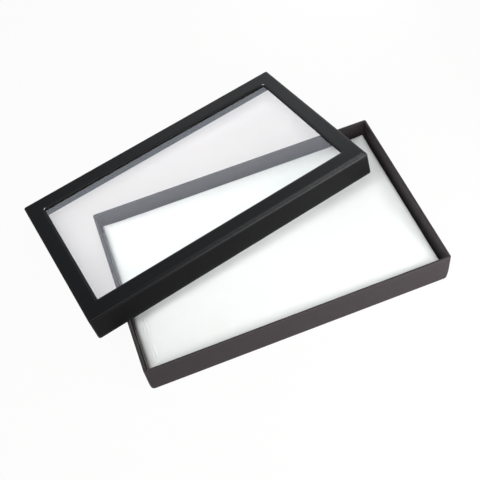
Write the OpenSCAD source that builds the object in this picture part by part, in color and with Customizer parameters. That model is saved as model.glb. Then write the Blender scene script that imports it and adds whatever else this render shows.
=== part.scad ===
// Jewelry display box: a shallow wrapped paperboard tray with a white pad in it,
// and a lift-off lid with a clear pane. The lid is off, and leans on the tray.
// The origin is the middle of the tray's underside. +X runs along the tray, +Z is up.

/* [Tray] */
// Outer width of the tray, along X
tray_w = 300; // [295:1:305]
// Outer depth of the tray, along Y
tray_d = 188; // [183:1:193]
// Outer height of the tray
tray_h = 37; // [35:1:37]
// Thickness of the tray's board
tray_board_t = 1.8; // [1.2:0.1:2]
// Radius of the tray's upright corners
tray_corner_r = 2; // [1.2:0.1:2.5]
// Radius of the fold along the tray's bottom edges
tray_fold_r = 2.2; // [1:0.1:2.4]
// Radius of the paper's turn over the rim
rim_r = 0.6; // [0.3:0.1:0.8]

/* [Lid] */
// Free play between the tray and the closed lid, on each side
lid_play = 0.6; // [0.4:0.1:1]
// Thickness of the lid's board
lid_board_t = 1.2; // [1:0.1:1.8]
// Height of the lid's skirt
lid_h = 24; // [24:0.5:27.5]
// Width of the frame left of the window
frame_left = 17.8; // [16:0.1:24]
// Width of the frame right of the window
frame_right = 16.6; // [16:0.1:24]
// Width of the frame in front of the window
frame_front = 20.4; // [16:0.1:24]
// Width of the frame behind the window
frame_back = 18.2; // [16:0.1:24]
// How far the lid's front skirt has spread at its lower edge
front_spread = 1.7; // [0:0.1:4]
// Radius of the lid's upright corners
lid_corner_r = 1.6; // [1.2:0.1:2.5]
// Radius of the lid's top edges
lid_edge_r = 1.2; // [0.8:0.1:1.4]
// Radius of the paper's turn round the lid's lower edge
skirt_r = 0.5; // [0.3:0.1:0.7]
// Radius of the window's corners
window_r = 1.2; // [0.8:0.1:3]

/* [Place of the lid] */
// Where the lid's lowest corner stands, along X
foot_x = -214.7; // [-215.2:0.1:-214.2]
// Where the lid's lowest corner stands, along Y
foot_y = 140.2; // [139.7:0.1:140.7]
// Height of that corner above the table
foot_z = 0.2; // [0.2:0.1:2]
// Turn of the lid about the upright
lid_turn = 11.8; // [11.7:0.1:11.9]
// Lean of the lid towards the back
lean_back = 11.17; // [11.17:0.01:11.5]
// Lean of the lid towards the left
lean_left = 5.01; // [5.01:0.01:5.3]

/* [Paper and tape] */
// Thickness of the wrap with its glue
wrap_t = 0.3; // [0.25:0.05:0.4]
// Thickness of the corner stay tape
stay_t = 0.12; // [0.08:0.02:0.16]
// Length of a corner stay along each wall
stay_len = 14; // [8:1:20]
// Width of the wrap's margin under the tray and round the window
turn_in = 12; // [8:1:13]
// Thickness of the sheet under the tray
base_sheet_t = 0.25; // [0.2:0.05:0.4]
// Distance of that sheet from the tray's edge
base_sheet_inset = 4; // [3:0.5:8]
// Width of the open joints where turned-in margins of the wrap meet
mitre_w = 0.3; // [0.2:0.1:0.5]
// Distance of the lap seams from the upright corners
lap_in = 2.4; // [2:0.1:4]
// Width of the bare board left at each corner of the window
nick_w = 1.2; // [0.6:0.1:1.6]

/* [Pane] */
// Thickness of the clear pane
pane_t = 0.5; // [0.3:0.1:1]
// How far the pane reaches past the window on each side
pane_lap = 9; // [6:0.5:10]
// Width of the tape that holds the pane
pane_tape_w = 6; // [3:0.5:6]
// Thickness of the tape that holds the pane
pane_tape_t = 0.15; // [0.1:0.05:0.3]

/* [Pad] */
// Depth of the pad's edge below the tray's rim
pad_drop = 13.2; // [10:0.1:16]
// Rise of the pad's middle above its edge
pad_crown = 1.4; // [0.4:0.1:2]
// Radius of the pad's top edges
pad_edge_r = 3; // [1.5:0.5:5]
// Thickness of the pad's cover
cover_t = 0.4; // [0.3:0.1:0.6]
// Thickness of the card under the pad
pad_card_t = 2; // [1:0.5:3]
// Gap between the pad and the tray's walls
pad_gap = 0.3; // [0.3:0.1:1]
// Width of the cover's margin under the card
cover_turn_in = 18; // [10:1:30]

/* [Hidden] */
CORNERS = ["front_left", "front_right", "back_left", "back_right"];
SIDES = ["front", "back", "left", "right"];
arc_steps = 5;        // straight pieces in a quarter round
cut = 1;              // how far a cutter runs past what it cuts
seam = 0.15;          // open joint between two walls of a board
slack = 0.2;          // space under the loose pad
lap_groove = 0.15;    // width and depth of a lap seam
joint_end = 0.6;      // how far an open joint stops short of a rounded edge
nick_skin = 0.2;      // paper left above the bare board at the window's corners

tray_wall = tray_board_t + 2 * wrap_t;
tray_base_z = base_sheet_t + wrap_t;
tray_floor_z = tray_base_z + tray_board_t;
tray_in_w = tray_w - 2 * tray_wall;
tray_in_d = tray_d - 2 * tray_wall;
tray_in_r = 0.4;

lid_wall = lid_board_t + 2 * wrap_t;
lid_w = tray_w + 2 * (lid_play + lid_wall);
lid_d = tray_d + 2 * (lid_play + lid_wall);
lid_under_z = -wrap_t - lid_board_t;
pane_top_z = lid_under_z - wrap_t - pane_tape_t;
window_w = lid_w - frame_left - frame_right;
window_d = lid_d - frame_front - frame_back;
window_x = (frame_left - frame_right) / 2;
window_y = (frame_front - frame_back) / 2;
spread_slope = front_spread / lid_h;

pad_w = tray_in_w - 2 * pad_gap;
pad_d = tray_in_d - 2 * pad_gap;
pad_z = tray_floor_z + slack;
pad_edge_z = tray_h - pad_drop;
pad_corner_r = 1.2;
crown_steps = 7;      // rings between the pad's edge and its middle
ridge_half = 3;       // half the width of the pad's flat middle

// Points of a rectangle with round corners, anticlockwise from its right front corner.
// The front side moves out by spread.
function round_rect(w, d, r, spread = 0) = [
    for (q = [0:3], k = [0:arc_steps])
        let (a = -90 + 90 * q + 90 * k / arc_steps,
             sx = (q == 0 || q == 1) ? 1 : -1,
             sy = (q == 1 || q == 2) ? 1 : -1)
        [sx * (w / 2 - r) + r * cos(a), sy * (d / 2 - r) + r * sin(a) - (sy < 0 ? spread : 0)]
];

// A stack of rings, each [inset, z], joined into one closed solid with round corners.
// slope moves the front side out by that much for each millimetre below z = 0.
module ring_stack(w, d, r, rings, slope = 0) {
    count = 4 * (arc_steps + 1);
    last = len(rings) - 1;
    points = [
        for (ring = rings, p = round_rect(w - 2 * ring[0], d - 2 * ring[0],
                                          max(r - ring[0], 0.1), -slope * ring[1]))
            [p[0], p[1], ring[1]]
    ];
    sides = [
        for (i = [0:last - 1], k = [0:count - 1])
            let (a = i * count + k, b = i * count + (k + 1) % count)
            each [[a, a + count, b], [b, a + count, b + count]]
    ];
    bottom = [for (k = [0:count - 1]) k];
    top = [for (k = [count - 1:-1:0]) last * count + k];
    polyhedron(points, concat([bottom], sides, [top]), convexity = 4);
}

// Quarter-round rings at the bottom (r_low) and top (r_high) of a block from z0 to z1
function block_rings(z0, z1, r_low, r_high) = concat(
    [for (k = [0:arc_steps]) if (r_low > 0) let (a = 90 * k / arc_steps)
        [r_low * (1 - sin(a)), z0 + r_low * (1 - cos(a))]],
    r_low > 0 ? [] : [[0, z0]],
    [for (k = [0:arc_steps]) if (r_high > 0) let (a = 90 * k / arc_steps)
        [r_high * (1 - cos(a)), z1 - r_high * (1 - sin(a))]],
    r_high > 0 ? [] : [[0, z1]]
);

// Rings of a hollow from z0 to z1 whose mouth opens out by r at the top
function mouth_up(z0, z1, r) = concat(
    [[0, z0]],
    [for (k = [0:arc_steps]) let (a = 90 * k / arc_steps) [-r * (1 - cos(a)), z1 - r * (1 - sin(a))]],
    [[-r, z1 + cut]]
);

// Rings of a hollow from z0 to z1 whose mouth opens out by r at the bottom
function mouth_down(z0, z1, r) = concat(
    [[-r, z0 - cut]],
    [for (k = [0:arc_steps]) let (a = 90 * k / arc_steps) [-r * (1 - sin(a)), z0 + r * (1 - cos(a))]],
    [[0, z1]]
);

// Plain upright block with round corners
module slab(w, d, r, z0, z1) {
    translate([0, 0, z0]) linear_extrude(z1 - z0) polygon(round_rect(w, d, r));
}

// The quarter of space that holds one corner, between z0 and z1
module corner_zone(w, d, corner, reach, z0, z1) {
    sx = (corner == "front_left" || corner == "back_left") ? -1 : 1;
    sy = (corner == "front_left" || corner == "front_right") ? -1 : 1;
    x = sx > 0 ? w / 2 - reach : -w / 2 - reach;
    y = sy > 0 ? d / 2 - reach : -d / 2 - reach;
    translate([x, y, z0]) cube([2 * reach, 2 * reach, z1 - z0]);
}

// Open butt joints where the short walls of a folded board meet the long ones.
// The two in front lean out with the front wall.
module board_seams(w, d, t, z0, z1, front_lean = 0) {
    for (sx = [-1, 1], sy = [-1, 1])
        translate([sx * (w / 2 - t / 2), sy * (d / 2 - t), 0])
            rotate([sy < 0 ? -front_lean : 0, 0, 0])
                translate([0, -sy * seam / 2, (z0 + z1) / 2])
                    cube([t + 2 * cut, seam, z1 - z0], center = true);
}

// Open joints along the diagonals, from r0 to r1 past the corners of a w by d rectangle
module mitres(w, d, r0, r1, z0, z1, width = mitre_w) {
    for (sx = [-1, 1], sy = [-1, 1])
        translate([sx * w / 2, sy * d / 2, 0]) rotate([0, 0, atan2(sy, sx)])
            translate([r0, -width / 2, z0]) cube([r1 - r0, width, z1 - z0]);
}

// Shallow grooves down the end walls, where their paper stops short of the corners
module lap_seams(w, d, z0, z1) {
    for (sx = [-1, 1], sy = [-1, 1])
        translate([sx * w / 2, sy * (d / 2 - lap_in), (z0 + z1) / 2])
            cube([2 * lap_groove, lap_groove, z1 - z0], center = true);
}

// Tray: a scored blank folded up, held at its corners by tape, then wrapped in paper
module tray_board_body() {
    w = tray_w - 2 * wrap_t;
    d = tray_d - 2 * wrap_t;
    difference() {
        ring_stack(w, d, tray_corner_r - wrap_t,
                   block_rings(tray_base_z, tray_h - wrap_t, tray_fold_r - wrap_t, 0));
        slab(w - 2 * tray_board_t, d - 2 * tray_board_t, tray_in_r, tray_floor_z, tray_h + cut);
    }
}

module tray_board() {
    color("#8a8378") difference() {
        tray_board_body();
        board_seams(tray_w - 2 * wrap_t, tray_d - 2 * wrap_t, tray_board_t,
                    tray_floor_z, tray_h + cut);
    }
}

module tray_stay_body(corner) {
    w = tray_w - 2 * wrap_t;
    d = tray_d - 2 * wrap_t;
    z0 = tray_base_z + tray_fold_r;
    z1 = tray_h - wrap_t - 2;
    intersection() {
        difference() {
            slab(w + 2 * stay_t, d + 2 * stay_t, tray_corner_r - wrap_t + stay_t, z0, z1);
            slab(w, d, tray_corner_r - wrap_t, z0 - cut, z1 + cut);
        }
        corner_zone(w, d, corner, stay_len, z0 - cut, z1 + cut);
    }
}

module tray_stay(corner) {
    color("#c9b48a") tray_stay_body(corner);
}

module tray_wrap() {
    color("#3a3537") difference() {
        ring_stack(tray_w, tray_d, tray_corner_r,
                   block_rings(base_sheet_t, tray_h, tray_fold_r, rim_r));
        tray_board_body();
        for (corner = CORNERS) tray_stay_body(corner);
        ring_stack(tray_in_w, tray_in_d, tray_in_r, mouth_up(tray_floor_z, tray_h, rim_r));
        under_window(base_sheet_t - cut);
        under_mitres();
        mitres(tray_in_w, tray_in_d, -cut, cut, tray_floor_z - cut, tray_h - rim_r - joint_end);
        lap_seams(tray_w, tray_d, base_sheet_t + tray_fold_r + joint_end, tray_h - rim_r - joint_end);
    }
}

// Joints between the wrap's margins under the tray
module under_mitres() {
    margin = tray_fold_r + turn_in;
    mitres(tray_w - 2 * margin, tray_d - 2 * margin, -cut, (turn_in - joint_end) * sqrt(2),
           base_sheet_t - cut, tray_base_z);
}

// Bare part of the board's underside, inside the wrap's margin
module under_window(z0) {
    margin = tray_fold_r + turn_in;
    slab(tray_w - 2 * margin, tray_d - 2 * margin, tray_in_r, z0, tray_base_z);
}

// Sheet over the underside, pressed into the step that the wrap's margin leaves
module tray_base_sheet() {
    color("#2b2829") union() {
        slab(tray_w - 2 * base_sheet_inset, tray_d - 2 * base_sheet_inset, 2, 0, base_sheet_t);
        under_window(0);
    }
}

// Pad: a card, a foam block with a crowned top, and a cover drawn over both
function crown_rings(edge_r, top_z, d) = [
    for (k = [1:crown_steps])
        let (u = k / crown_steps)
        [edge_r + (d / 2 - edge_r - ridge_half) * u, top_z + pad_crown * sin(90 * u)]
];

module pad_form(inset, z0) {
    r = pad_edge_r - inset;
    d = pad_d - 2 * inset;
    top_z = pad_edge_z - inset;
    ring_stack(pad_w - 2 * inset, d, pad_corner_r - inset / 2,
               concat(block_rings(z0, top_z, 0, r), crown_rings(r, top_z, d)));
}

module pad_card() {
    color("#8a8378")
        slab(pad_w - 2 * cover_t, pad_d - 2 * cover_t, pad_corner_r - cover_t / 2,
             pad_z + cover_t, pad_z + cover_t + pad_card_t);
}

module pad_foam() {
    color("white") pad_form(cover_t, pad_z + cover_t + pad_card_t);
}

module pad_cover() {
    color("whitesmoke") difference() {
        pad_form(0, pad_z);
        pad_form(cover_t, pad_z + cover_t);
        slab(pad_w - 2 * cover_turn_in, pad_d - 2 * cover_turn_in, pad_corner_r,
             pad_z - cut, pad_z + cover_t + cut / 2);
    }
}

// Lid, drawn in its own frame: z = 0 is its top face, and its skirt hangs below
module place_lid() {
    translate([foot_x, foot_y, foot_z])
        rotate([0, -lean_left, 0]) rotate([-lean_back, 0, 0]) rotate([0, 0, lid_turn])
            translate([lid_w / 2, -lid_d / 2, lid_h]) children();
}

module lid_block(inset, z0, z1, r_top, r_low = 0) {
    lid_stack(inset, block_rings(z0, z1, r_low, r_top));
}

module lid_stack(inset, rings) {
    ring_stack(lid_w - 2 * inset, lid_d - 2 * inset, max(lid_corner_r - inset, 0.3), rings, spread_slope);
}

module window_cut(grow, z0, z1) {
    translate([window_x, window_y, 0])
        slab(window_w + 2 * grow, window_d + 2 * grow, window_r + grow, z0, z1);
}

module lid_board_body() {
    difference() {
        lid_block(wrap_t, -lid_h + wrap_t, -wrap_t, lid_edge_r - wrap_t);
        lid_block(wrap_t + lid_board_t, -lid_h - cut, lid_under_z, 0);
        window_cut(wrap_t, -lid_h, cut);
    }
}

module lid_board() {
    color("#8a8378") place_lid() difference() {
        lid_board_body();
        board_seams(lid_w - 2 * wrap_t, lid_d - 2 * wrap_t, lid_board_t,
                    -lid_h - cut, lid_under_z, atan(spread_slope));
    }
}

module lid_stay_body(corner) {
    z0 = -lid_h + wrap_t + 1;
    z1 = -lid_edge_r - 1;
    intersection() {
        difference() {
            lid_block(wrap_t - stay_t, z0, z1, 0);
            lid_block(wrap_t, z0 - cut, z1 + cut, 0);
        }
        corner_zone(lid_w, lid_d, corner, stay_len, z0 - cut, z1 + cut);
    }
}

module lid_stay(corner) {
    color("#c9b48a") place_lid() lid_stay_body(corner);
}

module lid_wrap() {
    color("#1d1d21") place_lid() difference() {
        union() {
            difference() {
                lid_block(0, -lid_h, 0, lid_edge_r, skirt_r);
                lid_stack(lid_wall, mouth_down(-lid_h, lid_under_z, skirt_r));
            }
            window_cut(turn_in, lid_under_z - wrap_t, lid_under_z);
        }
        lid_board_body();
        for (corner = CORNERS) lid_stay_body(corner);
        window_cut(0, -lid_h, cut);
        translate([window_x, window_y, 0]) {
            mitres(window_w, window_d, -cut, turn_in * sqrt(2) + cut, -lid_h, lid_under_z + wrap_t);
            mitres(window_w, window_d, -cut, cut, -lid_h, -nick_skin, nick_w);
        }
        mitres(lid_w - 2 * lid_wall, lid_d - 2 * lid_wall, -cut, cut,
               -lid_h + skirt_r + joint_end, lid_under_z - joint_end);
        lap_seams(lid_w, lid_d, -lid_h + skirt_r + joint_end, -lid_edge_r - joint_end);
    }
}

// Pane: a clear sheet held under the frame by four strips of double-sided tape
module window_pane() {
    color([0.85, 0.9, 0.92, 0.35]) place_lid()
        translate([window_x, window_y, 0])
            slab(window_w + 2 * pane_lap, window_d + 2 * pane_lap, 1, pane_top_z - pane_t, pane_top_z);
}

module pane_tape(side) {
    along_x = side == "front" || side == "back";
    sign = (side == "front" || side == "left") ? -1 : 1;
    off = (along_x ? window_d : window_w) / 2 + pane_lap - pane_tape_w / 2;
    len_x = window_w + 2 * pane_lap;
    len_y = window_d + 2 * (pane_lap - pane_tape_w);
    size = along_x ? [len_x, pane_tape_w, pane_tape_t] : [pane_tape_w, len_y, pane_tape_t];
    color("gainsboro") place_lid()
        translate([window_x + (along_x ? 0 : sign * off), window_y + (along_x ? sign * off : 0),
                   pane_top_z + pane_tape_t / 2])
            cube(size, center = true);
}

tray_board();
tray_wrap();
tray_base_sheet();
for (corner = CORNERS)
    tray_stay(corner);
pad_card();
pad_foam();
pad_cover();
lid_board();
lid_wrap();
for (corner = CORNERS)
    lid_stay(corner);
window_pane();
for (side = SIDES)
    pane_tape(side);
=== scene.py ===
import math

import bmesh
import bpy
from mathutils import Matrix, Vector, noise


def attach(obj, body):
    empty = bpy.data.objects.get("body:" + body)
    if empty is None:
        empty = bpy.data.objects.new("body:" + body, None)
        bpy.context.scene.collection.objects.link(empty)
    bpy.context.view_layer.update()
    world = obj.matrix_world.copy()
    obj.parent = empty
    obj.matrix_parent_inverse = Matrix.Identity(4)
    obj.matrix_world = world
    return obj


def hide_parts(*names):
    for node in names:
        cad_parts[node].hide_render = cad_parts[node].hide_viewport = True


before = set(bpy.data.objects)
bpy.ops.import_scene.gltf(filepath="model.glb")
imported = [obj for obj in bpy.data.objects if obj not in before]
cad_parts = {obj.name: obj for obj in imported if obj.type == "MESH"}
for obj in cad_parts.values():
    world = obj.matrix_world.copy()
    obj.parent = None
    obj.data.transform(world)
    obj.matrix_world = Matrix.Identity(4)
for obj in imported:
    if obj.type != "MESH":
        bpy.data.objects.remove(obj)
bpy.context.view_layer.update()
MM = 0.001
UNMOVED = Matrix.Identity(4)
WHITE = (1, 1, 1, 1)

# Sizes of the tray, in millimetres, as in the CAD source
TRAY_W, TRAY_D, TRAY_H = 300.0, 188.0, 37.0
TRAY_BOARD_T = 1.8
TRAY_CORNER_R = 2.0
TRAY_FOLD_R = 2.2
RIM_R = 0.6
WRAP_T = 0.3
TURN_IN = 12.0
BASE_SHEET_T = 0.25
TRAY_WALL = TRAY_BOARD_T + 2 * WRAP_T
TRAY_BASE_Z = BASE_SHEET_T + WRAP_T
TRAY_FLOOR_Z = TRAY_BASE_Z + TRAY_BOARD_T
TRAY_STAY_Z = (2.75, 34.7)

# Sizes of the lid
LID_W, LID_D, LID_H = 304.8, 192.8, 24.0
LID_BOARD_T = 1.2
LID_WALL = LID_BOARD_T + 2 * WRAP_T
LID_UNDER_Z = -WRAP_T - LID_BOARD_T
WINDOW_W, WINDOW_D = 270.4, 154.2
WINDOW_X, WINDOW_Y = 0.6, 1.1
WINDOW_R = 1.2
SKIRT_R = 0.5
LID_STAY_Z = (-22.7, -2.2)

# Place of the lid: its low back left corner stands on the table
LID_FOOT = (-214.7, 140.2, 0.2)
LID_TURN, LEAN_BACK, LEAN_LEFT = 11.8, 11.17, 5.01

# Sizes of the pad
PAD_W, PAD_D = 294.6, 182.6
PAD_Z, PAD_EDGE_Z = 2.55, 23.8
PAD_CROWN = 1.4
PAD_EDGE_R = 1.6
PAD_CORNER_R = 1.2
CARD_TOP_Z = 4.95
COVER_T, COVER_TURN_IN = 0.4, 18.0

# Corner stays
CORNERS = ("front_right", "back_right", "back_left", "front_left")
STAY_T = 0.12
STAY_REACH, STAY_LEVELS = 3, 6

# How the long meshes are divided
LONG_STEPS, SHORT_STEPS, CORNER_STEPS = 60, 40, 8
ARC_STEPS, ROLL_STEPS, WALL_STEPS, UNDER_STEPS = 6, 4, 8, 4
TOP_STEPS, BOARD_TOP_STEPS, PAD_SIDE_STEPS = 7, 4, 4
SHARP_ANGLE, PAD_SHARP_ANGLE = 40, 50

# Least radii, where a corner is drawn far inside its wall
TRAY_LEAST_R, LID_LEAST_R, PAD_LEAST_R = 0.4, 0.3, 0.3

# Softer corners low down, and a front wall that leans in
TRAY_LOW_R, TRAY_SOFT_H = 4.2, 14.0
TRAY_SOFT_FOLD = 2.9
FRONT_LEAN, LEAN_GROWTH = 0.9, 1.3
LEAN_FROM_Y, LEAN_FULL_Y = 70, 90

# A lid with soft edges, whose front skirt spreads
LID_TOP_R, LID_LOW_R = 2.3, 3.0
LID_SOFT_EDGE = 1.6
SPREAD_LEFT, SPREAD_RIGHT = 2.3, 0.9
SPREAD_FROM_Y, SPREAD_FULL_Y = 60, 90

# The window's cut: its skew, the bow of its back edge and the slant of its front edge
WINDOW_HALF_W, WINDOW_HALF_D = 135, 77
WINDOW_SKEW = 0.6
BACK_IN, BACK_BOW = 0.3, 0.8
FRONT_OUT, FRONT_SLANT = 0.2, 0.4

# Lap seams of the wraps on the end walls, near each corner
LAP_IN, LAP_LEAST, LAP_HALF, LAP_GROOVE = 2.4, 0.5, 0.35, 0.12
LAP_LOW_Z = 5
SAME_PLACE = 0.01

# Ripple of the paper's face: its depth, its two wavelengths and the parts they take
RIPPLE = 0.05
WIDE_WAVE, FINE_WAVE = 31.0, 7.0
RIPPLE_BASE, WIDE_PART, FINE_PART = 0.5, 0.7, 0.3
TRAY_SEED, LID_SEED, TOP_SEED, TOP_NOISE_Z = 3.0, 8.0, 5.0, 40
# A ring's point this near a face lies on it, and further off in a corner
FACE_BAND = 1

# Wear of the paper: 0 is fresh, 1 is rubbed pale, and BARE_WEAR is worn down to the board. The next two
# numbers are not wear but a painted highlight along the lid's front edge: its strength at the right end,
# and how fast it grows towards there.
BARE_WEAR, EDGE_HIGHLIGHT, HIGHLIGHT_GROWTH = 2.0, 1.0, 1.5
FOLD_WEAR, FOLD_WEAR_Z = 0.2, 2.5
RIM_WEAR, RIM_INNER_WEAR = 0.2, 0.1
HEM_INNER_WEAR, HEM_WEAR, LID_EDGE_WEAR, WINDOW_WEAR = 0.1, 0.15, 0.1, 0.15


def smooth(t):
    """An even rise from 0 to 1 while t goes from 0 to 1."""
    t = min(max(t, 0.0), 1.0)
    return t * t * (3 - 2 * t)


def lid_matrix():
    """From the lid's own frame, with z = 0 on its top face, to the object's. Both are in millimetres."""
    lean_left = Matrix.Rotation(math.radians(-LEAN_LEFT), 4, "Y")
    lean_back = Matrix.Rotation(math.radians(-LEAN_BACK), 4, "X")
    turn = Matrix.Rotation(math.radians(LID_TURN), 4, "Z")
    middle = Matrix.Translation((LID_W / 2, -LID_D / 2, LID_H))
    return Matrix.Translation(LID_FOOT) @ lean_left @ lean_back @ turn @ middle


# Sections, as points of inset from the outer face and height
def arc(cx, cz, r, start, end, steps=ARC_STEPS):
    """Points of an arc, both ends included."""
    out = []
    for k in range(steps + 1):
        t = math.radians(start + (end - start) * k / steps)
        out.append((cx + r * math.cos(t), cz + r * math.sin(t)))
    return out


def spaced(a, b, steps):
    """Points between two section points, without the ends."""
    return [(a[0] + (b[0] - a[0]) * k / steps, a[1] + (b[1] - a[1]) * k / steps) for k in range(1, steps)]


# Rings, as the points of a section carried round a rectangle
def side_stops(length, near):
    """Fractions along a short side: even steps, with three close together at each lap seam."""
    seams = [(near + d) / length for d in (-LAP_HALF, 0.0, LAP_HALF)]
    even = [k / SHORT_STEPS for k in range(1, SHORT_STEPS)]
    return [0.0] + seams + even + [1 - t for t in reversed(seams)]


def ring(x0, x1, y0, y1, r, z, groove=0.0):
    """Points of a rectangle with round corners at height z, anticlockwise from the front side's left end.
    The two end walls have stops for the lap seams, which lie deeper by groove."""
    corners = [(x1 - r, y0 + r, -90), (x1 - r, y1 - r, 0), (x0 + r, y1 - r, 90), (x0 + r, y0 + r, 180)]
    points = []
    for i, (cx, cy, start) in enumerate(corners):
        px, py, last = corners[i - 1]
        a = math.radians(last + 90)
        b = math.radians(start)
        here = Vector((px + r * math.cos(a), py + r * math.sin(a), z))
        there = Vector((cx + r * math.cos(b), cy + r * math.sin(b), z))
        if i % 2 == 0:
            points += [here.lerp(there, k / LONG_STEPS) for k in range(LONG_STEPS)]
        else:
            length = (there - here).length
            near = max(LAP_IN - r, LAP_LEAST)
            inward = Vector((-1, 0, 0)) if i == 1 else Vector((1, 0, 0))
            for t in side_stops(length, near):
                at = t * length
                seam = min(abs(at - near), abs(at - length + near)) < SAME_PLACE
                points.append(here.lerp(there, t) + inward * (groove if seam else 0.0))
        for k in range(CORNER_STEPS):
            t = math.radians(start + 90 * k / CORNER_STEPS)
            points.append(Vector((cx + r * math.cos(t), cy + r * math.sin(t), z)))
    return points


def corner_start(corner):
    """Index in a ring of the first point of a corner, by its place in CORNERS."""
    short_count = len(side_stops(TRAY_D, LAP_IN))
    sides = sum(LONG_STEPS if i % 2 == 0 else short_count for i in range(corner + 1))
    return sides + corner * CORNER_STEPS


def across(outer, inner, steps):
    """Rings between two rings, without the ends."""
    return [[a.lerp(b, k / steps) for a, b in zip(outer, inner)] for k in range(1, steps)]


def ripple(point, seed):
    """How far the paper's face lies below its highest places, in millimetres."""
    wide = noise.noise(point / WIDE_WAVE + Vector((seed, 0, 0)))
    fine = noise.noise(point / FINE_WAVE + Vector((0, seed, 0)))
    return RIPPLE * (RIPPLE_BASE + WIDE_PART * wide + FINE_PART * fine)


def sink(p, x, y, depth):
    """Moves a ring's point inwards by depth where it lies on a face, and not in a corner."""
    p.x -= math.copysign(depth, p.x) if abs(p.x) > x - FACE_BAND else 0
    p.y -= math.copysign(depth, p.y) if abs(p.y) > y - FACE_BAND else 0


# Meshes
def mesh_object(name, verts, faces, material, wear_and_highlight=None):
    """An object with outward faces and smooth shading, from points in metres."""
    mesh = bpy.data.meshes.new(name)
    mesh.from_pydata(verts, [], faces)
    if wear_and_highlight:
        mesh.attributes.new("wear_and_highlight", "FLOAT", "POINT").data.foreach_set("value", wear_and_highlight)
    bm = bmesh.new()
    bm.from_mesh(mesh)
    bmesh.ops.recalc_face_normals(bm, faces=bm.faces)
    bm.to_mesh(mesh)
    bm.free()
    shade_smooth(mesh, SHARP_ANGLE)
    mesh.materials.append(material)
    obj = bpy.data.objects.new(name, mesh)
    bpy.context.scene.collection.objects.link(obj)
    return obj


def shade_smooth(mesh, sharp_angle):
    mesh.polygons.foreach_set("use_smooth", [True] * len(mesh.polygons))
    mesh.set_sharp_from_angle(angle=math.radians(sharp_angle))


def loft(name, rings, matrix, material, closed=True, wear_and_highlight=None):
    """A solid through the rings. It closes on itself like a hoop, or else its end rings are filled. The
    last argument holds a number for each ring, which goes into the paper's attribute for wearing and
    painted highlight."""
    count = len(rings[0])
    verts = [matrix @ p * MM for points in rings for p in points]
    spans = len(rings) if closed else len(rings) - 1
    faces = []
    for i in range(spans):
        a, b = i * count, (i + 1) % len(rings) * count
        for k in range(count):
            n = (k + 1) % count
            faces.append((a + k, a + n, b + n, b + k))
    if not closed:
        faces.append(tuple(reversed(range(count))))
        faces.append(tuple(range((len(rings) - 1) * count, len(rings) * count)))
    point_wear_and_highlight = [w for w in wear_and_highlight for _ in range(count)] if wear_and_highlight else None
    return mesh_object(name, verts, faces, material, point_wear_and_highlight)


# Node trees of materials and the world
class Nodes:
    """A node tree, built a node at a time."""

    def __init__(self, owner, output="ShaderNodeOutputMaterial"):
        owner.use_nodes = True
        self.owner = owner
        self.tree = owner.node_tree
        self.tree.nodes.clear()
        self.output = self.add(output)

    def add(self, kind, **values):
        """A new node, with its settings and its inputs by name."""
        node = self.tree.nodes.new(kind)
        for key, value in values.items():
            if hasattr(node, key):
                setattr(node, key, value)
            else:
                socket = node.inputs[key.replace("_", " ")]
                if isinstance(value, bpy.types.NodeSocket):
                    self.link(value, socket)
                else:
                    socket.default_value = value
        return node

    def link(self, a, b):
        self.tree.links.new(a, b)


def material_nodes(name):
    return Nodes(bpy.data.materials.new(name))


def object_place(n):
    return n.add("ShaderNodeTexCoord").outputs["Object"]


def grain(n, place, scale, detail, distortion=0.0):
    """Noise with so many cells to the metre."""
    values = {"Vector": place, "Scale": scale, "Detail": detail, "Distortion": distortion}
    return n.add("ShaderNodeTexNoise", **values).outputs["Fac"]


def stripes(n, place, scale, distortion, direction):
    """Waves across one axis."""
    values = {"Vector": place, "Scale": scale, "Distortion": distortion, "bands_direction": direction}
    return n.add("ShaderNodeTexWave", **values).outputs["Fac"]


def colour_mix(n, share, low, high):
    """A colour between two, each a triple or an output of another node."""
    mix = n.add("ShaderNodeMix", data_type="RGBA")
    n.link(share, mix.inputs["Factor"])
    for socket, value in ((mix.inputs[6], low), (mix.inputs[7], high)):
        if isinstance(value, tuple):
            socket.default_value = (*value, 1)
        else:
            n.link(value, socket)
    return mix.outputs[2]


def ranged(n, value, start, end, low=0.0, high=1.0):
    """The value, stretched from start..end to low..high and held there."""
    node = n.add("ShaderNodeMapRange", From_Min=start, From_Max=end, To_Min=low, To_Max=high)
    n.link(value, node.inputs["Value"])
    return node.outputs[0]


def combine(n, a, b, operation):
    """A sum, product or the like of two values, each a number or an output of another node."""
    node = n.add("ShaderNodeMath", operation=operation)
    for socket, value in zip(node.inputs, (a, b)):
        if isinstance(value, float):
            socket.default_value = value
        else:
            n.link(value, socket)
    return node.outputs[0]


def product(n, a, b):
    return combine(n, a, b, "MULTIPLY")


def total(n, a, b):
    return combine(n, a, b, "ADD")


def larger(n, a, b):
    return combine(n, a, b, "MAXIMUM")


def bumps(n, *layers):
    """Bump of several heights on top of each other, each as (height, strength, depth in metres)."""
    normal = None
    for height, strength, depth in layers:
        node = n.add("ShaderNodeBump", Strength=strength, Distance=depth)
        n.link(height, node.inputs["Height"])
        if normal:
            n.link(normal, node.inputs["Normal"])
        normal = node.outputs[0]
    return normal


def surface(n, colour, roughness, normal, **uniform):
    """Finishes an opaque material. uniform holds the numbers that are the same all over it."""
    shader = n.add("ShaderNodeBsdfPrincipled", **uniform)
    n.link(colour, shader.inputs["Base Color"])
    n.link(roughness, shader.inputs["Roughness"])
    n.link(normal, shader.inputs["Normal"])
    n.link(shader.outputs[0], n.output.inputs["Surface"])
    return n.owner


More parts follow.
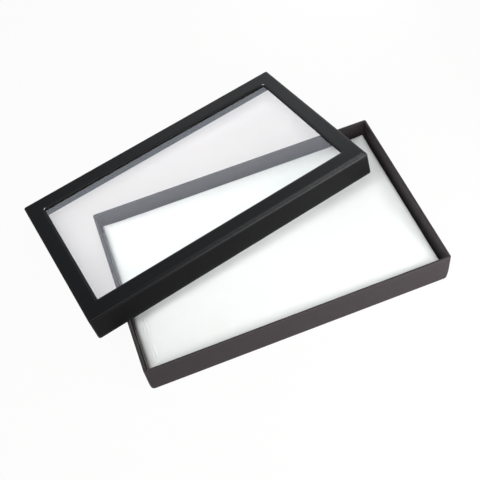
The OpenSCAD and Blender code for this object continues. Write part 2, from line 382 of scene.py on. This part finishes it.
def mixed_surface(n, share, first, second):
    """Finishes a tree with a mix of two shaders, the second by the given share."""
    mix = n.add("ShaderNodeMixShader")
    n.link(share, mix.inputs[0])
    n.link(first.outputs[0], mix.inputs[1])
    n.link(second.outputs[0], mix.inputs[2])
    n.link(mix.outputs[0], n.output.inputs["Surface"])
    return n.owner


def scaled(colour, factor, lift=0.0):
    return tuple(factor * c + lift for c in colour)


# Materials
BARE_BOARD = (0.58, 0.57, 0.55)
# Length of a wave texture's wave at a scale of 1, in metres
WAVE_AT_ONE = 2 * math.pi / 20


def paper(name, colour, fleck, roughness, specular):
    """Dyed wrapping paper: mottled, with fibres, dust and a fine tooth. It is lighter where its attribute
    for wearing and painted highlight says so, from rubbing on rims, hems and edges and from a painted
    highlight along the lid's front edge, and bare down to the board where that attribute is well above 1."""
    n = material_nodes(name)
    place = object_place(n)
    blotch = grain(n, place, 70.0, 3.0)
    tooth = grain(n, place, 2600.0, 2.0)
    along = n.add("ShaderNodeMapping", Vector=place, Rotation=(0.3, 0.2, 0.4), Scale=(900.0, 260.0, 900.0))
    fibre = grain(n, along.outputs[0], 1.0, 3.0, 0.8)
    worn_and_highlit = n.add("ShaderNodeAttribute", attribute_name="wear_and_highlight").outputs["Fac"]
    # Rubbing on rims, hems and edges, and a painted highlight along the lid's front edge
    rubbed_and_highlit = product(n, ranged(n, worn_and_highlit, 0.0, 1.0), ranged(n, fibre, 0.25, 0.75, low=0.3, high=0.75))
    dust = ranged(n, grain(n, place, 420.0, 1.0), 0.72, 0.78)
    dyed = colour_mix(n, blotch, colour, fleck)
    speckled = colour_mix(n, product(n, dust, 0.35), dyed, scaled(fleck, 3.0))
    # Lighter colour for rubbed paper and for the painted highlight on the lid's front edge
    paler_rubbed_and_highlit = colour_mix(n, rubbed_and_highlit, speckled, scaled(fleck, 1.6, lift=0.10))
    bare = colour_mix(n, ranged(n, worn_and_highlit, 1.3, 1.6), paler_rubbed_and_highlit, BARE_BOARD)
    toothed = ranged(n, tooth, 0.2, 0.8, low=roughness - 0.05, high=roughness + 0.05)
    rough = total(n, toothed, product(n, rubbed_and_highlit, 0.12))
    relief = bumps(n, (fibre, 0.3, 0.00004), (tooth, 0.25, 0.00002))
    return surface(n, bare, rough, relief, Specular_IOR_Level=specular)


def board(name, colour, fleck):
    """Grey-brown chipboard with pulp clouds and darker fibres."""
    n = material_nodes(name)
    place = object_place(n)
    cloud = grain(n, place, 130.0, 4.0)
    fibre = grain(n, place, 1400.0, 3.0, 1.5)
    shade = colour_mix(n, cloud, scaled(colour, 0.9), colour)
    flecked = colour_mix(n, ranged(n, fibre, 0.6, 0.72), shade, fleck)
    rough = ranged(n, cloud, 0.2, 0.8, low=0.82, high=0.94)
    return surface(n, flecked, rough, bumps(n, (fibre, 0.4, 0.00006)))


def fabric(name, colour, shade, pitch):
    """Plain woven cover: threads that cross at a pitch, brushed soft, with a faint sheen."""
    n = material_nodes(name)
    place = object_place(n)
    facing = n.add("ShaderNodeSeparateXYZ")
    n.link(n.add("ShaderNodeNewGeometry").outputs["Normal"], facing.inputs[0])
    scale = WAVE_AT_ONE / pitch
    threads = []
    for axis, direction in enumerate("XYZ"):
        wave = stripes(n, place, scale, 0.0, direction)
        flat = product(n, facing.outputs[axis], facing.outputs[axis])
        threads.append(product(n, wave, ranged(n, flat, 0.0, 1.0, low=1.0, high=0.0)))
    weave = total(n, total(n, threads[0], threads[1]), threads[2])
    fluff = grain(n, place, 2200.0, 3.0)
    cloud = grain(n, place, 55.0, 2.0)
    tone = colour_mix(n, ranged(n, cloud, 0.3, 0.7), scaled(colour, 0.985), colour)
    woven = colour_mix(n, ranged(n, weave, 0.1, 0.9, low=0.25, high=0.0), tone, shade)
    rough = ranged(n, fluff, 0.2, 0.8, low=0.86, high=0.98)
    relief = bumps(n, (weave, 0.35, 0.00012), (fluff, 0.3, 0.00004))
    return surface(n, woven, rough, relief, Specular_IOR_Level=0.3, Sheen_Weight=0.08, Sheen_Roughness=0.5)


def tape(name, colour, shade, roughness, ribs):
    """Paper tape: fibres along it and fine ribs across, or a smooth film where ribs is 0."""
    n = material_nodes(name)
    place = object_place(n)
    fibre = grain(n, place, 800.0, 3.0, 0.6)
    cloud = grain(n, place, 90.0, 2.0)
    mixed = colour_mix(n, ranged(n, fibre, 0.35, 0.75), colour, shade)
    rough = ranged(n, cloud, 0.2, 0.8, low=roughness - 0.06, high=roughness + 0.08)
    height = stripes(n, place, 420.0, 1.5, "Z")
    return surface(n, mixed, rough, bumps(n, (fibre, 0.3, 0.00004), (height, ribs, 0.00003)))


def clear_sheet(name, ior):
    """Clear plastic sheet, faintly wavy and wiped, that lets the lamps through."""
    n = material_nodes(name)
    place = object_place(n)
    wave = grain(n, place, 24.0, 1.0)
    wiped = grain(n, place, 60.0, 5.0, 1.2)
    sheet = n.add("ShaderNodeBsdfPrincipled", Base_Color=WHITE, IOR=ior, Transmission_Weight=1.0)
    n.link(ranged(n, wiped, 0.45, 0.8, low=0.012, high=0.05), sheet.inputs["Roughness"])
    n.link(bumps(n, (wave, 0.06, 0.0004)), sheet.inputs["Normal"])
    lamp = n.add("ShaderNodeLightPath").outputs["Is Shadow Ray"]
    return mixed_surface(n, lamp, sheet, n.add("ShaderNodeBsdfTransparent"))


# The tray's paper is drawn about ten times lighter than the lid's paper: painted light, standing for the
# light that falls on the tray's walls
TRAY_PAPER_PAINTED_LIT = paper("tray_paper", (0.0305, 0.0244, 0.0268), (0.0365, 0.0294, 0.0320), 0.5, 0.18)
LID_PAPER = paper("lid_paper", (0.0029, 0.0029, 0.0035), (0.0042, 0.0042, 0.0051), 0.42, 0.175)
BASE_PAPER = paper("base_paper", (0.020, 0.018, 0.018), (0.030, 0.027, 0.027), 0.6, 0.3)
BOARD = board("board", (0.42, 0.37, 0.30), (0.22, 0.18, 0.14))
CARD = board("card", (0.62, 0.60, 0.56), (0.45, 0.42, 0.38))
PAD_FABRIC = fabric("pad_fabric", (0.88, 0.905, 0.885), (0.78, 0.81, 0.80), 0.0006)
STAY = tape("stay", (0.50, 0.38, 0.22), (0.36, 0.26, 0.15), 0.7, 0.3)
TAPE = tape("tape", (0.75, 0.75, 0.72), (0.70, 0.70, 0.66), 0.35, 0.0)
PANE = clear_sheet("pane", 1.575)

NODE_MATERIALS = {
    "tray_board": BOARD, "lid_board": BOARD, "pad_card": CARD,
    "tray_wrap": TRAY_PAPER_PAINTED_LIT, "lid_wrap": LID_PAPER, "tray_base_sheet": BASE_PAPER,
    "pad_foam": PAD_FABRIC, "pad_cover": PAD_FABRIC, "window_pane": PANE,
}


def node_material(name):
    if "_stay_" in name:
        return STAY
    if name.startswith("pane_tape"):
        return TAPE
    return NODE_MATERIALS[name]


# Tray
def tray_ring(inset, z, groove=0.0, waves=0.0):
    """Ring of the tray at a depth of inset below its outer face. The front wall leans in as it goes up."""
    soft = TRAY_CORNER_R + (TRAY_LOW_R - TRAY_CORNER_R) * smooth(1 - z / TRAY_SOFT_H)
    inset += waves * RIPPLE
    x, y = TRAY_W / 2 - inset, TRAY_D / 2 - inset
    points = ring(-x, x, -y, y, max(soft - inset, TRAY_LEAST_R), z, groove)
    for p in points:
        front = smooth((-p.y - LEAN_FROM_Y) / (LEAN_FULL_Y - LEAN_FROM_Y))
        if waves:
            sink(p, x, y, waves * (ripple(p, TRAY_SEED) - RIPPLE))
        p.y += FRONT_LEAN * front * (max(z, 0) / TRAY_H) ** LEAN_GROWTH
    return points


def tray_skin(depth):
    """Section of the tray's outside, from the fold up to the rim, at a depth below the paper's face."""
    fold_z = BASE_SHEET_T + TRAY_SOFT_FOLD
    section = arc(TRAY_SOFT_FOLD, fold_z, TRAY_SOFT_FOLD - depth, 270, 180)
    section += spaced((depth, fold_z), (depth, TRAY_H - RIM_R), WALL_STEPS)
    return section


def make_tray_wrap():
    """The wrap, from its edge under the tray up the outside, over the rim, down inside and back."""
    margin = TRAY_FOLD_R + TURN_IN
    inner, inner_back = TRAY_WALL, TRAY_WALL - WRAP_T
    rim_z, rim_back_z = TRAY_H - RIM_R, TRAY_H - WRAP_T
    rows = []

    def add(section, groove=0.0, worn_and_highlit=0.0):
        rows.extend((a, z, groove, worn_and_highlit) for a, z in section)

    add([(margin, BASE_SHEET_T)])
    add(spaced((margin, BASE_SHEET_T), (TRAY_SOFT_FOLD, BASE_SHEET_T), UNDER_STEPS))
    wavy_from = len(rows) + ARC_STEPS // 2
    for a, z in tray_skin(0):
        add([(a, z)], LAP_GROOVE if z > LAP_LOW_Z else 0.0, FOLD_WEAR if z < FOLD_WEAR_Z else 0.0)
    add(arc(RIM_R, rim_z, RIM_R, 180, 90, ROLL_STEPS), worn_and_highlit=RIM_WEAR)
    add(arc(inner - RIM_R, rim_z, RIM_R, 90, 0, ROLL_STEPS), worn_and_highlit=RIM_INNER_WEAR)
    add(spaced((inner, rim_z), (inner, TRAY_FLOOR_Z), WALL_STEPS))
    wavy = range(wavy_from, len(rows))
    add([(inner, TRAY_FLOOR_Z), (inner_back, TRAY_FLOOR_Z)])
    add(spaced((inner_back, TRAY_FLOOR_Z), (inner_back, rim_back_z), WALL_STEPS))
    add([(inner_back, rim_back_z), (WRAP_T, rim_back_z)])
    add(reversed(tray_skin(WRAP_T)))
    add([(margin, TRAY_BASE_Z)])
    rings = []
    for i, (a, z, groove, _) in enumerate(rows):
        rings.append(tray_ring(a, z, groove, 1.0 if i in wavy else 0.0))
    return loft("tray_wrap_paper", rings, UNMOVED, TRAY_PAPER_PAINTED_LIT, wear_and_highlight=[row[3] for row in rows])


def make_tray_board():
    inner, top = TRAY_WALL - WRAP_T, TRAY_H - WRAP_T
    section = [(TRAY_SOFT_FOLD, TRAY_BASE_Z)] + tray_skin(WRAP_T)[1:] + [(WRAP_T, top), (inner, top)]
    section += spaced((inner, top), (inner, TRAY_FLOOR_Z), WALL_STEPS) + [(inner, TRAY_FLOOR_Z)]
    return loft("tray_blank", [tray_ring(a, z) for a, z in section], UNMOVED, BOARD, closed=False)


# Lid
def lid_outer(inset, z, groove=0.0, waves=0.0):
    """Ring of the lid at a depth of inset below its outer face. The front skirt spreads as it goes down."""
    low = -z / LID_H
    soft = LID_TOP_R + (LID_LOW_R - LID_TOP_R) * smooth(low)
    inset += waves * RIPPLE
    x, y = LID_W / 2 - inset, LID_D / 2 - inset
    points = ring(-x, x, -y, y, max(soft - inset, LID_LEAST_R), z, groove)
    for p in points:
        if waves:
            sink(p, x, y, waves * (ripple(p, LID_SEED) - RIPPLE))
        if p.y < 0:
            along = 0.5 + p.x / LID_W
            spread = SPREAD_LEFT + (SPREAD_RIGHT - SPREAD_LEFT) * along
            p.y -= spread * low * smooth((-p.y - SPREAD_FROM_Y) / (SPREAD_FULL_Y - SPREAD_FROM_Y))
    return points


def lid_window(grow, z):
    """Ring round the window, grow outside its edge. The cut isn't quite square, and its back edge bows."""
    w, d = WINDOW_W / 2 + grow, WINDOW_D / 2 + grow
    points = ring(WINDOW_X - w, WINDOW_X + w, WINDOW_Y - d, WINDOW_Y + d, WINDOW_R + max(grow, 0), z)
    for p in points:
        u, v = p.x / WINDOW_HALF_W, (p.y - WINDOW_Y) / WINDOW_HALF_D
        p.x += WINDOW_SKEW * v
        if v > 0:
            p.y -= (BACK_IN + BACK_BOW * u * u) * smooth(v)
        else:
            p.y += (FRONT_SLANT * u - FRONT_OUT) * smooth(-v)
    return points


def lid_skirt(depth):
    """Section of the skirt's outside, from its lower edge up, at a depth below the paper's face."""
    return spaced((depth, -LID_H + SKIRT_R), (depth, -LID_SOFT_EDGE), WALL_STEPS)


def lid_bend(depth):
    """Section of the edge between skirt and top face."""
    return arc(LID_SOFT_EDGE, -LID_SOFT_EDGE, LID_SOFT_EDGE - depth, 180, 90, WALL_STEPS)


# Section of the paper's roll over the window's edge, as distance outwards from the edge and height
WINDOW_ROLL = [(3.2, 0.0), (1.9, -0.02), (1.6, -0.13), (1.35, -0.1), (1.0, -0.12), (0.6, -0.24),
               (0.25, -0.52), (0.05, -0.95)]
ROLL_END_Z = -1.3
# Paper over the board beyond the roll's inner rows, as a part of the paper's thickness
ROLL_INNER, ROLL_COVER = 1, 0.4
# Rows of the roll, counted from its second, that are worn through at the window's back corners
NICK_FROM, NICK_TO = 2, 5
NICKED_CORNERS = ("back_right", "back_left")


def board_roll():
    """Rings of the board under the window's roll, from the window's edge outwards."""
    rings = []
    for a, z in reversed(WINDOW_ROLL):
        cover = WRAP_T if a < ROLL_INNER else ROLL_COVER * WRAP_T
        rings.append(lid_window(a + cover, z - WRAP_T))
    return rings


def board_top():
    """Rings of the lid board's upper face, from the window's edge outwards."""
    rings = board_roll()
    edge = lid_outer(LID_SOFT_EDGE, -WRAP_T)
    return rings + across(rings[-1], edge, BOARD_TOP_STEPS) + [edge]


def board_outside():
    """Rings of the lid board's outer face, from the top face down to the lower edge."""
    section = lid_skirt(WRAP_T) + lid_bend(WRAP_T)
    return [lid_outer(a, z) for a, z in reversed(section)][1:]


def make_lid_wrap():
    """The wrap, from under the frame down the skirt's inside, round its edge, up, over the top, through the
    window and back between board and paper."""
    wall, under, low = LID_WALL, LID_UNDER_Z, -LID_H
    hem_z = low + SKIRT_R
    rings, wear_and_highlight = [], []

    def add(new, worn_and_highlit=0.0):
        rings.extend(new)
        wear_and_highlight.extend([worn_and_highlit] * len(new))

    inner = [(wall, under)] + spaced((wall, under), (wall, hem_z), WALL_STEPS)
    hem_inner = arc(wall - SKIRT_R, hem_z, SKIRT_R, 0, -90, ROLL_STEPS)
    hem_outer = arc(SKIRT_R, hem_z, SKIRT_R, -90, -180, ROLL_STEPS)
    add([lid_outer(a, z) for a, z in inner])
    add([lid_outer(a, z, waves=1.0) for a, z in hem_inner], HEM_INNER_WEAR)
    add([lid_outer(a, z, waves=1.0) for a, z in hem_outer], HEM_WEAR)
    add([lid_outer(a, z, LAP_GROOVE, 1.0) for a, z in lid_skirt(0)])
    bend = [lid_outer(a, z, waves=1.0) for a, z in lid_bend(0)]
    # Rows of the lid's front edge that get the painted highlight
    highlight_rows = range(len(rings) + 1, len(rings) + len(bend) + 1)
    add(bend, LID_EDGE_WEAR)
    opening = lid_window(*WINDOW_ROLL[0])
    top = across(bend[-1], opening, TOP_STEPS) + [opening]
    for points in top:
        for p in points:
            p.z -= ripple(Vector((p.x, p.y, TOP_NOISE_Z)), TOP_SEED)
    add(top)
    nick_rows = range(len(rings) + NICK_FROM, len(rings) + NICK_TO)
    add([lid_window(a, z) for a, z in WINDOW_ROLL[1:]], WINDOW_WEAR)
    add([lid_window(0, ROLL_END_Z), lid_window(0, under - WRAP_T)])
    add([lid_window(TURN_IN, under - WRAP_T), lid_window(TURN_IN, under), lid_window(WRAP_T, under)])
    add(board_top())
    add(board_outside())
    back = wall - WRAP_T
    add([lid_outer(WRAP_T, low + WRAP_T), lid_outer(back, low + WRAP_T), lid_outer(back, under)])
    wrap = loft("lid_wrap_paper", rings, lid_matrix(), LID_PAPER, wear_and_highlight=wear_and_highlight)
    wear_through_and_paint_highlight(wrap.data.attributes["wear_and_highlight"].data, len(rings[0]), nick_rows, highlight_rows)
    return wrap


def wear_through_and_paint_highlight(worn_and_highlit, count, nick_rows, highlight_rows):
    """Wears through the window's back corners, and paints a highlight along the front edge, brightest at
    its right end.
    """
    for row in nick_rows:
        for name in NICKED_CORNERS:
            first = row * count + corner_start(CORNERS.index(name))
            for point in worn_and_highlit[first + 1:first + CORNER_STEPS]:
                point.value = BARE_WEAR
    # The painted highlight: none at the front edge's left end, growing to full at its right end and round
    # the right corner
    for row in highlight_rows:
        for k in range(LONG_STEPS + CORNER_STEPS):
            worn_and_highlit[row * count + k].value = EDGE_HIGHLIGHT * min(k / LONG_STEPS, 1) ** HIGHLIGHT_GROWTH


def make_lid_board():
    wall, under, low = LID_WALL - WRAP_T, LID_UNDER_Z, -LID_H + WRAP_T
    inner = [(WRAP_T, low), (wall, low)] + spaced((wall, low), (wall, under), WALL_STEPS) + [(wall, under)]
    rings = [lid_window(WRAP_T, under)] + board_top() + board_outside()
    rings += [lid_outer(a, z) for a, z in inner]
    return loft("lid_blank", rings, lid_matrix(), BOARD)


# Corner stays
def make_stay(name, rows, start, matrix):
    """A bent strip of tape over one corner. rows holds pairs of an outer and an inner ring."""
    count = len(rows[0][0])
    picks = [k % count for k in range(start - STAY_REACH, start + CORNER_STEPS + STAY_REACH + 1)]
    levels, width = len(rows), len(picks)
    verts = []
    for layer in (0, 1):
        for level in rows:
            verts += [matrix @ level[layer][k] * MM for k in picks]
    faces = []
    size = levels * width
    for i in range(levels - 1):
        for k in range(width - 1):
            a = i * width + k
            faces.append((a, a + 1, a + width + 1, a + width))
            faces.append((size + a + width, size + a + width + 1, size + a + 1, size + a))
    for i in range(levels - 1):
        for k in (0, width - 1):
            a = i * width + k
            faces.append((a, a + width, size + a + width, size + a))
    for k in range(width - 1):
        for i in (0, levels - 1):
            a = i * width + k
            faces.append((a, a + 1, size + a + 1, size + a))
    return mesh_object(name, verts, faces, STAY)


def make_stays():
    sides = (("tray", tray_ring, TRAY_STAY_Z, UNMOVED), ("lid", lid_outer, LID_STAY_Z, lid_matrix()))
    for index, corner in enumerate(CORNERS):
        for body, ring_at, (low, high), matrix in sides:
            levels = [low + (high - low) * k / STAY_LEVELS for k in range(STAY_LEVELS + 1)]
            rows = [(ring_at(WRAP_T - STAY_T, z), ring_at(WRAP_T, z)) for z in levels]
            stay = make_stay(f"{body}_tape_{corner}", rows, corner_start(index), matrix)
            put(stay, body, "stay_tape", f"{body}_stay_{corner}")


# Pad
PAD_SLACK = 0.7
PAD_CROWN_REACH, PAD_CROWN_RINGS = 40.0, 17
PAD_MIDDLE_GAP, PAD_CROWN_SLACK = 2, 0.4
PAD_SOFT_CORNER, PAD_SQUARING = 7.0, 0.85
# The front wall leans in, and the pad clears it all the way up
PAD_FRONT_GAP, PAD_GAP_FROM_Y, PAD_GAP_FULL_Y = 0.8, 78, 90
PAD_VOXEL, PAD_PRESSURE, PAD_CAP = 4.0, 4.0, 1.5
PAD_PINNED_H, PAD_TOP_ROOM = 1, 0.6
SIM_FRAMES = 20
HEM_LAP = 1.5
TOP_BAND = 2
PAD_UNEVEN, PAD_UNEVEN_WAVE = 0.06, 6
# Short raised creases near the walls: x, first y, last y, height, half width
PAD_CREASES = [(-135.4, -30, -52, 0.34, 0.8), (-138.1, -34, -49, 0.30, 0.7), (-134.6, -61, -79, 0.36, 0.8),
               (-137.4, -66, -77, 0.2, 0.7), (-139.6, 8, -14, 0.25, 0.9), (141.2, 40, 12, 0.22, 0.9)]
CREASE_WANDER, CREASE_WAVE = 0.9, 9
# Box round the creases near the left wall, where the mesh is divided more finely
CREASED_LOW, CREASED_HIGH = (-143, -84, PAD_EDGE_Z - TOP_BAND), (-128, 12, 40)
CREASED_CUTS = 2


def pad_ring(inset, z):
    x, y = PAD_W / 2 - inset, PAD_D / 2 - inset
    return ring(-x, x, -y, y, max(PAD_CORNER_R - inset, PAD_LEAST_R), z)


def pad_crown(inset):
    """Height of the pad's top above its edge, at a distance inset from the edge."""
    return PAD_CROWN * math.sin(min(inset / PAD_CROWN_REACH, 1) * math.pi / 2)


def pad_block():
    """The filling under its cover, as a closed form with a crowned top, smaller by the cover's slack."""
    low, top = CARD_TOP_Z, PAD_EDGE_Z - PAD_SLACK
    edge_z = top - PAD_EDGE_R
    section = [(PAD_SLACK, low)] + spaced((PAD_SLACK, low), (PAD_SLACK, edge_z), PAD_SIDE_STEPS)
    section += [(a + PAD_SLACK, z) for a, z in arc(PAD_EDGE_R, edge_z, PAD_EDGE_R, 180, 90)]
    reach = PAD_D / 2 - PAD_EDGE_R - PAD_SLACK - PAD_MIDDLE_GAP
    for k in range(1, PAD_CROWN_RINGS + 1):
        a = PAD_EDGE_R + reach * k / PAD_CROWN_RINGS
        section.append((a + PAD_SLACK, top + pad_crown(a) - PAD_CROWN_SLACK))
    return loft("pad_cushion", [pad_ring(a, z) for a, z in section], UNMOVED, PAD_FABRIC, closed=False)


def settled_mesh(obj):
    graph = bpy.context.evaluated_depsgraph_get()
    return bpy.data.meshes.new_from_object(obj.evaluated_get(graph), depsgraph=graph)


def bake_modifiers(obj):
    """Puts the mesh that the modifiers make in place of the object's own."""
    mesh = settled_mesh(obj)
    obj.modifiers.clear()
    obj.data = mesh


def swell(obj):
    """Blows the block up as cloth with a pinned underside, and holds every point near where it started."""
    remesh = obj.modifiers.new("remesh", "REMESH")
    remesh.mode = "VOXEL"
    remesh.voxel_size = PAD_VOXEL * MM
    bake_modifiers(obj)
    start = [v.co.copy() for v in obj.data.vertices]
    pinned = obj.vertex_groups.new(name="pinned")
    pinned_z = (CARD_TOP_Z + PAD_PINNED_H) * MM
    pinned.add([i for i, p in enumerate(start) if p.z < pinned_z], 1.0, "REPLACE")
    cloth = obj.modifiers.new("cloth", "CLOTH")
    cloth.settings.use_pressure = True
    cloth.settings.uniform_pressure_force = PAD_PRESSURE
    cloth.settings.effector_weights.gravity = 0
    cloth.settings.vertex_group_mass = "pinned"
    for f in range(1, SIM_FRAMES + 1):
        bpy.context.scene.frame_set(f)
    bake_modifiers(obj)
    half_w, half_d = PAD_W / 2 * MM, PAD_D / 2 * MM
    top = (PAD_EDGE_Z + PAD_CROWN + PAD_TOP_ROOM) * MM
    for v, was in zip(obj.data.vertices, start):
        move = v.co - was
        if move.length > PAD_CAP * MM:
            move *= PAD_CAP * MM / move.length
        here = was + move
        v.co = (min(max(here.x, -half_w), half_w), min(max(here.y, -half_d), half_d), min(here.z, top))
    bpy.context.scene.frame_set(1)


def squared(x, y):
    """Draws a rounded corner of the pad out towards the corner of its cover, in millimetres."""
    half_w, half_d = PAD_W / 2 - PAD_SOFT_CORNER, PAD_D / 2 - PAD_SOFT_CORNER
    u = (abs(x) - PAD_W / 2 + PAD_SOFT_CORNER) / PAD_SOFT_CORNER
    v = (abs(y) - PAD_D / 2 + PAD_SOFT_CORNER) / PAD_SOFT_CORNER
    if u <= 0 or v <= 0:
        return x, y
    out = math.hypot(u, v) / max(u, v)
    u, v = (min(c * (1 + PAD_SQUARING * (out - 1)), 1) for c in (u, v))
    return math.copysign(half_w + u * PAD_SOFT_CORNER, x), math.copysign(half_d + v * PAD_SOFT_CORNER, y)


def crease(x, y):
    """Height that the creases near the walls add to the pad at a place."""
    height = 0.0
    for at, y1, y2, high, half in PAD_CREASES:
        line = at + CREASE_WANDER * noise.noise(Vector((y / CREASE_WAVE, at, 0)))
        along = (y - min(y1, y2)) / abs(y1 - y2)
        if 0 < along < 1 and abs(x - line) < 2 * half:
            height += high * math.sin(along * math.pi) * math.cos((x - line) / half * math.pi / 4) ** 2
    return height


def uneven(x, y):
    """Height of the pad's faint unevenness at a place."""
    return PAD_UNEVEN * noise.noise(Vector((x / PAD_UNEVEN_WAVE, y / PAD_UNEVEN_WAVE, 1)))


def refine(obj, low, high, times):
    """Divides the mesh more finely where it lies between two corners of a box, in millimetres."""
    bm = bmesh.new()
    bm.from_mesh(obj.data)
    for _ in range(times):
        inside = [e for e in bm.edges
                  if all(lo <= c / MM <= hi for v in e.verts for c, lo, hi in zip(v.co, low, high))]
        bmesh.ops.subdivide_edges(bm, edges=inside, cuts=1, use_grid_fill=True, smooth=0.0)
    bm.to_mesh(obj.data)
    bm.free()


def join_mesh(obj, other):
    """Adds another object's mesh to this one and removes the other."""
    bm = bmesh.new()
    bm.from_mesh(obj.data)
    bm.from_mesh(other.data)
    bm.to_mesh(obj.data)
    bm.free()
    bpy.data.objects.remove(other)


def make_hem():
    """The cover's lower edge, turned in under the card."""
    inner_z = PAD_Z + COVER_T
    section = [(0, CARD_TOP_Z + HEM_LAP), (0, PAD_Z), (COVER_TURN_IN, PAD_Z), (COVER_TURN_IN, inner_z),
               (COVER_T, inner_z), (COVER_T, CARD_TOP_Z + HEM_LAP)]
    return loft("hem", [pad_ring(a, z) for a, z in section], UNMOVED, PAD_FABRIC)


def make_pad():
    pad = pad_block()
    swell(pad)
    smoother = pad.modifiers.new("smoother", "SUBSURF")
    smoother.levels = smoother.render_levels = 1
    bake_modifiers(pad)
    refine(pad, CREASED_LOW, CREASED_HIGH, CREASED_CUTS)
    for v in pad.data.vertices:
        x, y, z = v.co / MM
        v.co.x, v.co.y = (c * MM for c in squared(x, y))
        if z > PAD_EDGE_Z - TOP_BAND:
            v.co.z += (crease(x, y) + uneven(x, y)) * MM
    join_mesh(pad, make_hem())
    for v in pad.data.vertices:
        front = smooth((-v.co.y / MM - PAD_GAP_FROM_Y) / (PAD_GAP_FULL_Y - PAD_GAP_FROM_Y))
        v.co.y += PAD_FRONT_GAP * front * MM
    shade_smooth(pad.data, PAD_SHARP_ANGLE)
    return pad


# Pieces
def put(piece, body, slot, *nodes):
    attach(piece, body)
    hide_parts(*nodes)


for node_name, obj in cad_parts.items():
    obj.data.materials.clear()
    obj.data.materials.append(node_material(node_name))

put(make_tray_wrap(), "tray", "tray_paper", "tray_wrap")
put(make_tray_board(), "tray", "board", "tray_board")
put(make_lid_wrap(), "lid", "lid_paper", "lid_wrap")
put(make_lid_board(), "lid", "board", "lid_board")
make_stays()
pad = make_pad()
put(pad, "pad", "pad_fabric", "pad_cover", "pad_foam")

# Stage, in metres and degrees
CAMERA_AT = (-0.10975, -0.42587, 0.68239)
CAMERA_AIM = (-0.01845, 0.02946, 0.0)
CAMERA_ROLL = -10.53
CAMERA_LENS, CAMERA_SENSOR = 60.67, 36.0
CAMERA_NEAR, CAMERA_FAR = 0.01, 50.0
FLOOR_HALF = 4.0
FLOOR_COLOUR = (0.80, 0.76, 0.75, 1)
# How much of the floor is plain white to the camera, and to the camera by way of glass or gloss
FLOOR_WHITE, FLOOR_WHITE_IN_GLASS = 0.94, 0.3
WORLD_LIGHT = 0.15
LIGHT_AIM = Vector((-0.03, 0.05, 0.04))
# Soft boxes: azimuth from +Y towards +X, elevation, distance, width and height, radiance, colour
LAMPS = {
    "near_front": (160, 35, 0.42, (0.2, 0.2), 5.9, (1, 1, 1)),
    "near_right": (130, 12, 0.42, (0.2, 0.2), 4.8, (1, 1, 1)),
    "near_back": (40, 12, 0.42, (0.2, 0.2), 2.4, (1, 1, 1)),
    "front_left": (-150, 68, 1.1, (0.5, 0.5), 6.2, (1, 1, 1)),
    "left": (-120, 52, 1.1, (0.5, 0.5), 2.0, (1, 1, 1)),
    "back": (6, 31, 1.35, (1.4, 0.44), 1.05, (0.90, 0.99, 1.11)),
    "back_low": (8, 12, 1.35, (0.6, 0.4), 1.9, (1, 1, 1)),
}


def make_camera():
    data = bpy.data.cameras.new("camera")
    data.lens = CAMERA_LENS
    data.sensor_width = CAMERA_SENSOR
    data.clip_start, data.clip_end = CAMERA_NEAR, CAMERA_FAR
    cam = bpy.data.objects.new("camera", data)
    bpy.context.scene.collection.objects.link(cam)
    aim = (Vector(CAMERA_AIM) - Vector(CAMERA_AT)).normalized()
    roll = Matrix.Rotation(math.radians(CAMERA_ROLL), 4, "Z")
    turn = aim.to_track_quat("-Z", "Y").to_matrix().to_4x4() @ roll
    cam.matrix_world = Matrix.Translation(CAMERA_AT) @ turn
    bpy.context.scene.camera = cam


def make_lamp(name, azimuth, elevation, distance, size, radiance, colour):
    """A soft box that faces the object's middle."""
    a, e = math.radians(azimuth), math.radians(elevation)
    away = Vector((math.sin(a) * math.cos(e), math.cos(a) * math.cos(e), math.sin(e)))
    data = bpy.data.lights.new(name, "AREA")
    data.shape = "RECTANGLE"
    data.size, data.size_y = size
    data.energy = radiance * math.pi * size[0] * size[1]
    data.color = colour
    lamp = bpy.data.objects.new(name, data)
    bpy.context.scene.collection.objects.link(lamp)
    lamp.location = LIGHT_AIM + away * distance
    lamp.rotation_mode = "QUATERNION"
    lamp.rotation_quaternion = (-away).to_track_quat("-Z", "Y")


def make_floor():
    """A pale floor that takes shadows. The camera sees it almost white, also in glass and gloss, but light
    that has bounced off the object's matt faces doesn't."""
    n = material_nodes("floor")
    path = n.add("ShaderNodeLightPath").outputs
    diffuse = n.add("ShaderNodeBsdfDiffuse", Color=FLOOR_COLOUR)
    white = n.add("ShaderNodeEmission", Color=WHITE, Strength=1.0)
    mirrored = larger(n, path["Is Glossy Ray"], path["Is Transmission Ray"])
    straight = combine(n, path["Diffuse Depth"], 0.5, "LESS_THAN")
    in_glass = product(n, product(n, mirrored, straight), FLOOR_WHITE_IN_GLASS)
    share = larger(n, product(n, path["Is Camera Ray"], FLOOR_WHITE), in_glass)
    mesh = bpy.data.meshes.new("floor")
    s = FLOOR_HALF
    mesh.from_pydata([(-s, -s, 0), (s, -s, 0), (s, s, 0), (-s, s, 0)], [], [(0, 1, 2, 3)])
    mesh.materials.append(mixed_surface(n, share, diffuse, white))
    floor = bpy.data.objects.new("floor", mesh)
    bpy.context.scene.collection.objects.link(floor)


def make_world():
    """Faint even light on the object, and plain white behind it."""
    world = bpy.data.worlds.new("studio")
    bpy.context.scene.world = world
    n = Nodes(world, "ShaderNodeOutputWorld")
    camera_ray = n.add("ShaderNodeLightPath").outputs["Is Camera Ray"]
    soft = n.add("ShaderNodeBackground", Color=WHITE, Strength=WORLD_LIGHT)
    white = n.add("ShaderNodeBackground", Color=WHITE, Strength=1.0)
    mixed_surface(n, camera_ray, soft, white)


make_camera()
make_floor()
make_world()
for lamp_name, values in LAMPS.items():
    make_lamp(lamp_name, *values)
bpy.context.scene.view_settings.view_transform = "Standard"
